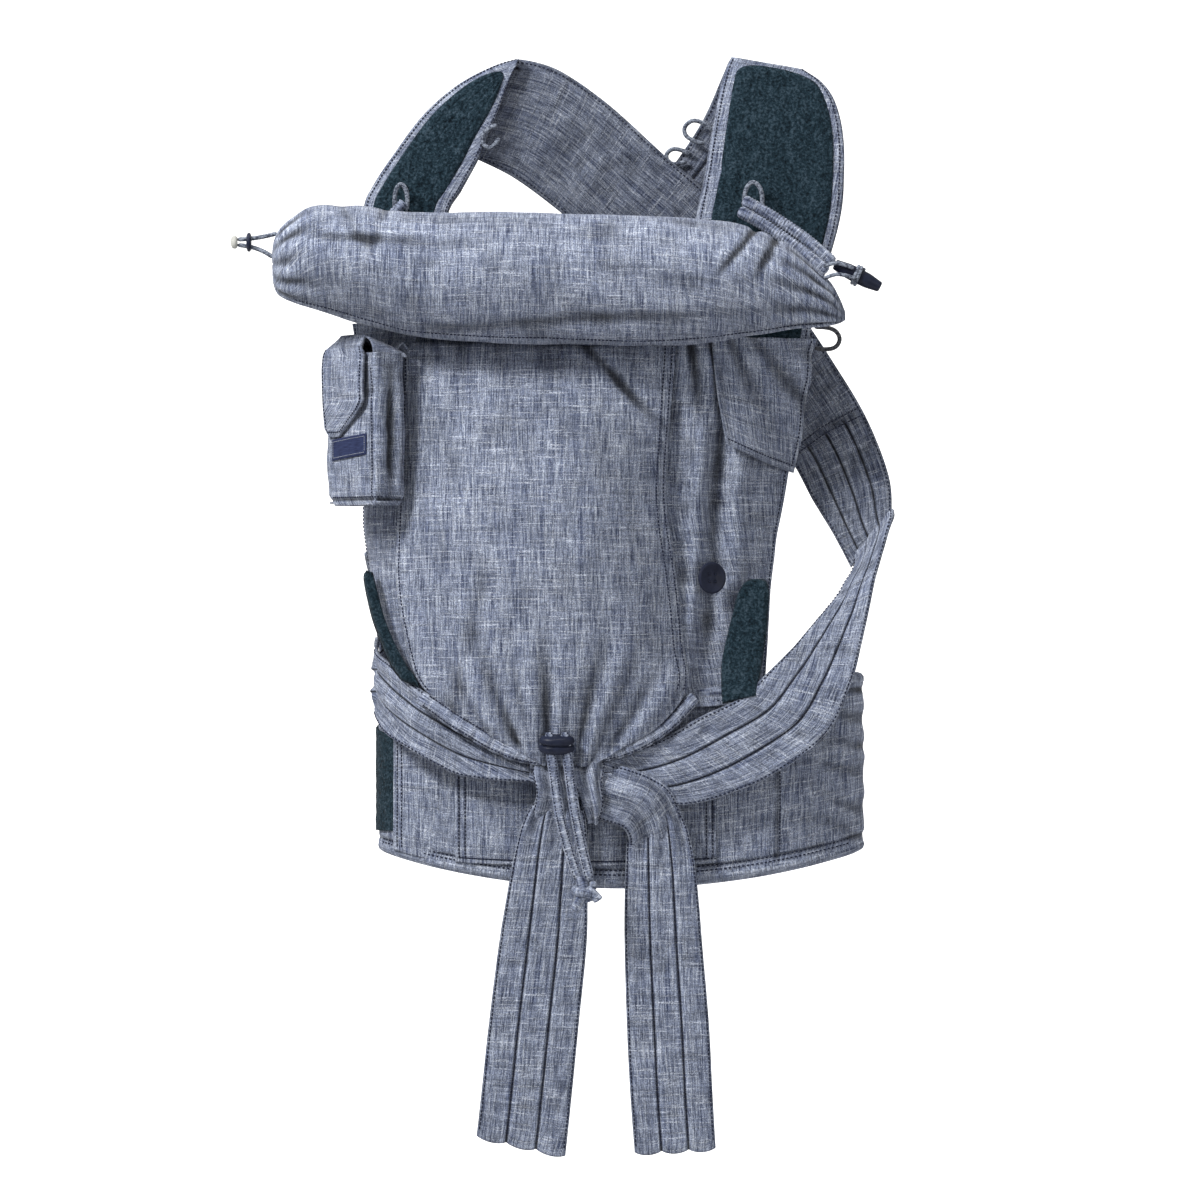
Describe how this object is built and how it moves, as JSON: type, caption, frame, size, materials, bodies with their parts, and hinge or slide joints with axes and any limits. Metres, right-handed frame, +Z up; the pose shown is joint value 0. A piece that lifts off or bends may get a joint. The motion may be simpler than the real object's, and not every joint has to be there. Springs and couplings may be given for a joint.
{
  "type": "soft baby carrier",
  "caption": "Soft front baby carrier with gathered panel, rolled head support, hip belt, crossing wrap straps tied in front and a clip-on pouch.",
  "frame": {"origin": "middle of the wearer's waist, inside the closed hip belt", "axes": "+X to the viewer's right when facing the panel, +Y from the panel towards the wearer, +Z up"},
  "size_m": [0.5987, 0.2273, 1.006],
  "materials": {
    "chambray": "slub weave",
    "terry": "terry pile",
    "padding": "foam",
    "hardware": "moulded satin",
    "pale_hardware": "moulded satin",
    "label": "woven",
    "thread": "sewing thread",
    "cord": "braided elastic"
  },
  "bodies": {
    "harness": {"belt_foam": "padding", "belt_lining": "chambray", "belt_loop_tape": "terry", "belt_outer_cover": "chambray", "belt_pocket_patch": "chambray", "button_thread": "thread", "centre_panel": "chambray", "corner_casings": "chambray", "corner_loop_left": "cord", "corner_loop_right": "cord", "drawcord_channel": "chambray", "gathered_seat": "chambray", "hood_flap": "chambray", "leg_pad_left": "terry", "leg_pad_right": "terry", "seat_width_button": "hardware", "shoulder_wing_left": "chambray", "shoulder_wing_right": "chambray", "side_loop": "cord", "side_wing_left": "chambray", "side_wing_right": "chambray", "strap_knot": "chambray", "strap_left_cover": "chambray", "strap_left_crossing": "chambray", "strap_left_foam": "padding", "strap_left_front": "chambray", "strap_left_lining": "terry", "strap_left_rear": "chambray", "strap_loop_left": "cord", "strap_loop_lower": "cord", "strap_loop_upper": "cord", "strap_right_cover": "chambray", "strap_right_crossing": "chambray", "strap_right_foam": "padding", "strap_right_fold": "chambray", "strap_right_front": "chambray", "strap_right_lining": "terry", "strap_right_rear": "chambray"},
    "head_roll": {"head_roll_cover": "chambray", "head_roll_padding": "padding", "roll_cord_upper": "cord", "roll_cord_lower": "cord", "roll_cord_end": "pale_hardware"},
    "roll_cord_stop": {"roll_cord_stop": "hardware"},
    "roll_toggle": {"roll_toggle": "hardware", "toggle_loop": "cord"},
    "pouch": {"pouch_shell": "chambray", "pouch_flap_root": "chambray", "pouch_label": "label", "pouch_closure_tape": "chambray", "pouch_hanger_tabs": "chambray"},
    "pouch_flap": {"pouch_flap": "chambray"},
    "seat_cords": {"seat_cord_left": "chambray", "seat_cord_right": "chambray", "seat_cord_knot": "chambray"},
    "seat_cord_lock": {"seat_cord_lock": "hardware"},
    "tail_left": {"tail_left_upper": "chambray"},
    "tail_left_tip": {"tail_left_end": "chambray"},
    "tail_right": {"tail_right_upper": "chambray"},
    "tail_right_tip": {"tail_right_end": "chambray"}
  },
  "joints": [
    {"name": "head_roll_lift", "type": "hinge", "parent": "harness", "child": "head_roll", "pos_m": [0, -0.038, 0.505], "axis": [-1, 0, 0], "range_deg": [0, 90]},
    {"name": "roll_cord_stop_slide", "type": "slide", "parent": "head_roll", "child": "roll_cord_stop", "axis": [1, 0, 0], "range_m": [0, 0.003]},
    {"name": "toggle_swing", "type": "hinge", "parent": "head_roll", "child": "roll_toggle", "pos_m": [0.207, -0.096, 0.453], "axis": [0, 1, 0], "range_deg": [-35, 12]},
    {"name": "pouch_swing", "type": "hinge", "parent": "harness", "child": "pouch", "pos_m": [-0.1985, -0.0605, 0.393], "axis": [-0.6428, 0.766, 0], "range_deg": [0, 12]},
    {"name": "pouch_flap_open", "type": "hinge", "parent": "pouch", "child": "pouch_flap", "pos_m": [-0.2258, -0.0834, 0.3842], "axis": [-0.6428, 0.766, 0], "range_deg": [0, 75]},
    {"name": "seat_cord_swing", "type": "hinge", "parent": "harness", "child": "seat_cords", "pos_m": [-0.039, -0.124, 0.044], "axis": [-1, 0, 0], "range_deg": [0, 40]},
    {"name": "seat_cord_lock_slide", "type": "slide", "parent": "seat_cords", "child": "seat_cord_lock", "axis": [0.124, 0, -0.9923], "range_m": [0, 0.028]},
    {"name": "tail_left_swing", "type": "hinge", "parent": "harness", "child": "tail_left", "pos_m": [-0.036, -0.0895, -0.02], "axis": [0, 1, 0], "range_deg": [-3, 25]},
    {"name": "tail_left_bend", "type": "hinge", "parent": "tail_left", "child": "tail_left_tip", "pos_m": [-0.051, -0.0895, -0.147], "axis": [1, 0, 0], "range_deg": [-40, 40]},
    {"name": "tail_right_swing", "type": "hinge", "parent": "harness", "child": "tail_right", "pos_m": [0.05, -0.0895, -0.02], "axis": [0, -1, 0], "range_deg": [-3, 25]},
    {"name": "tail_right_bend", "type": "hinge", "parent": "tail_right", "child": "tail_right_tip", "pos_m": [0.057, -0.0895, -0.147], "axis": [1, 0, 0], "range_deg": [-40, 40]}
  ]
}
